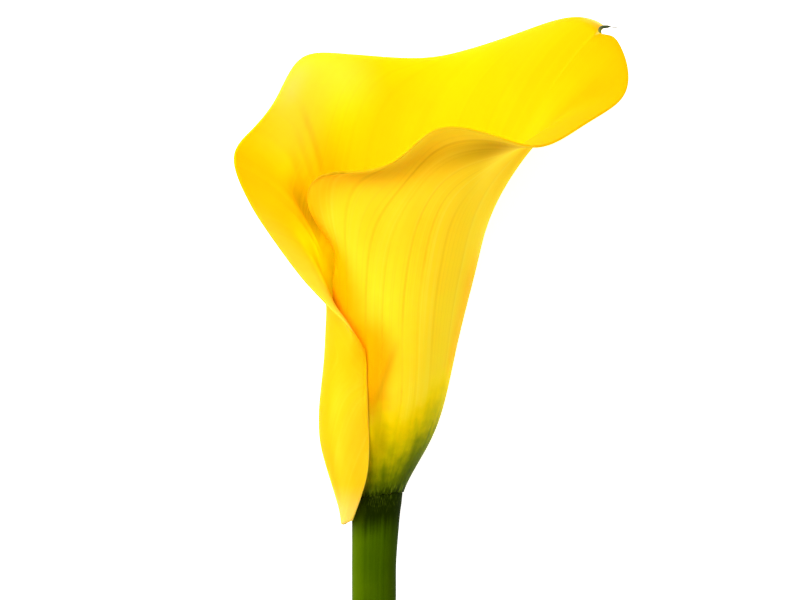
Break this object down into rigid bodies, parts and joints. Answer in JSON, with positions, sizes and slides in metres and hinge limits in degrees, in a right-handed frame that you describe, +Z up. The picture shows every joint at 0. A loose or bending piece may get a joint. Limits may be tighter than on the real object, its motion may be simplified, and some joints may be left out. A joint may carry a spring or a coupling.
{
  "type": "calla lily flower",
  "caption": "Cut calla lily: a yellow rolled trumpet spathe with a flared wavy rim, a floret-covered spadix and a green stem.",
  "frame": {"origin": "middle of the footprint, on the surface that the flower lies on", "axes": "+Y along the stem towards the bloom, +Z up, with the spathe's overlap and lip uppermost"},
  "size_m": [0.0953, 0.2662, 0.0616],
  "materials": {
    "spathe": "satin",
    "spadix": "matte",
    "stem": "satin"
  },
  "bodies": {
    "root": {"spathe": "spathe", "spadix": "spadix", "stem": "stem"}
  },
  "joints": []
}
